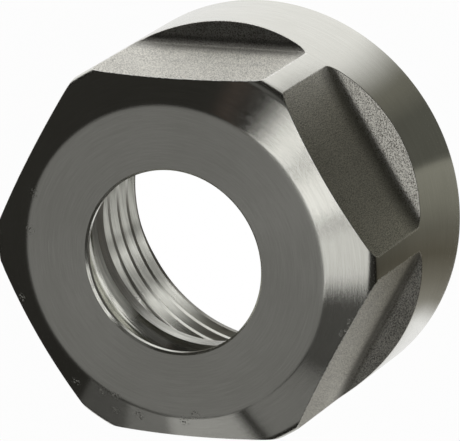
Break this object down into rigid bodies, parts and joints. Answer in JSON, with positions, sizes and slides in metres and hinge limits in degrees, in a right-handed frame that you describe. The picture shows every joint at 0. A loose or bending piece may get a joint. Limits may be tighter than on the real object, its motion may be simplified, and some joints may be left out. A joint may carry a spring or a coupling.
{
  "type": "collet nut",
  "caption": "Hexagon clamping nut with an internal cone, an off-centre pull-out lip and a fine thread, for holding a spring collet in a tool holder.",
  "frame": {"origin": "centre of the back face, the one with the thread's mouth, on the nut's axis", "axes": "+Z along the nut's axis towards the nose; -Y is the outward normal of one wrench flat"},
  "size_m": [0.028, 0.028, 0.017],
  "materials": {
    "nut_steel": "satin turned and ground steel, with fine grit-blasted wrench flats"
  },
  "bodies": {
    "root": {"nut_body": "nut_steel"}
  },
  "joints": []
}
